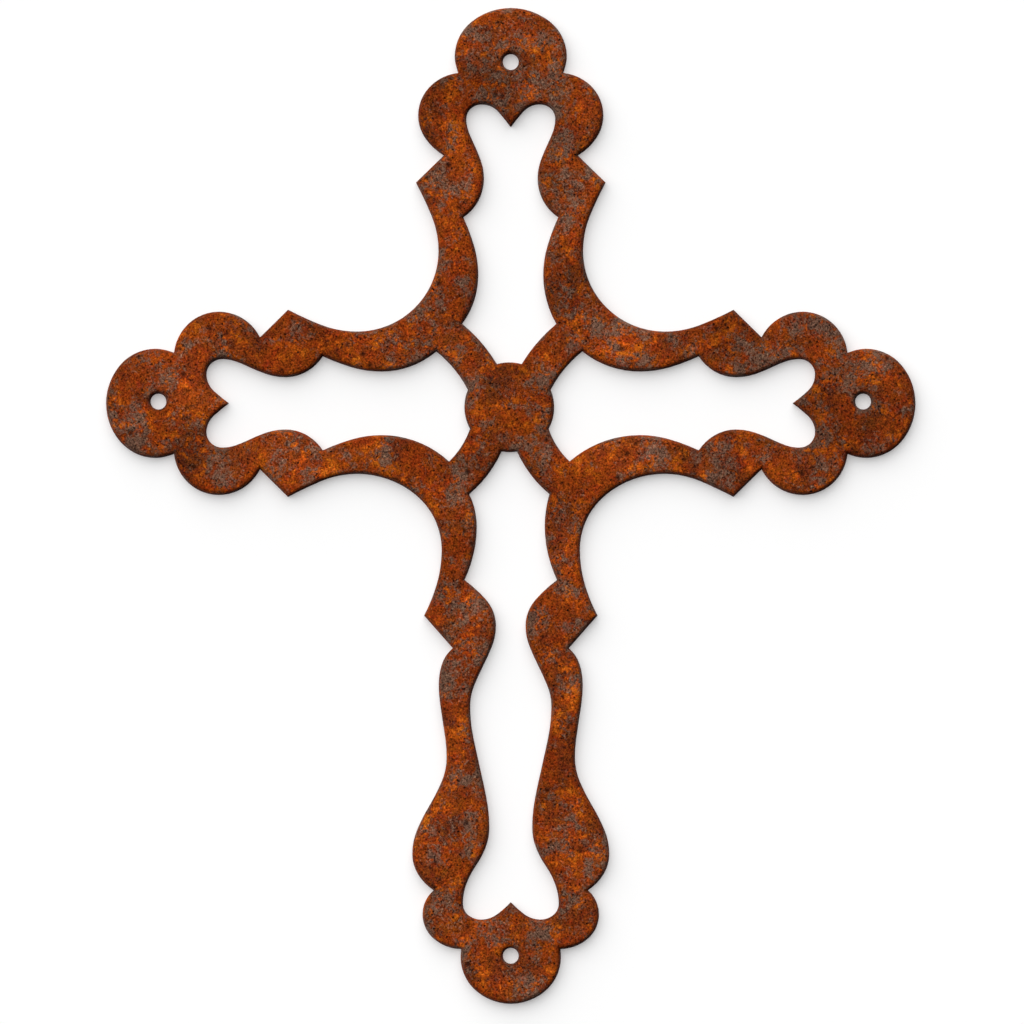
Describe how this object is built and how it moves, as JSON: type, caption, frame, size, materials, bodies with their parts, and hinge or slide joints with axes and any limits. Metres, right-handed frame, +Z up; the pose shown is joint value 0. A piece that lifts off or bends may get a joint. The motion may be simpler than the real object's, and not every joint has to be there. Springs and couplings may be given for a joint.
{
  "type": "wall cross",
  "caption": "Flat cut-iron wall cross with trefoil arm ends, pointed barbs, heart-shaped windows, a round boss on curved bars, and screw holes in the arm ends.",
  "frame": {"origin": "on the back face, the one that lies on the wall, where the centre lines of the arms cross", "axes": "+Z up towards the top arm, +X towards the right arm as seen from the front, +Y into the wall; the front faces -Y"},
  "size_m": [0.33, 0.005, 0.406],
  "materials": {
    "iron": "matt, rusted all over: mottled orange, red-brown and maroon rust over grey-brown iron"
  },
  "bodies": {
    "root": {"cross": "iron"}
  },
  "joints": []
}
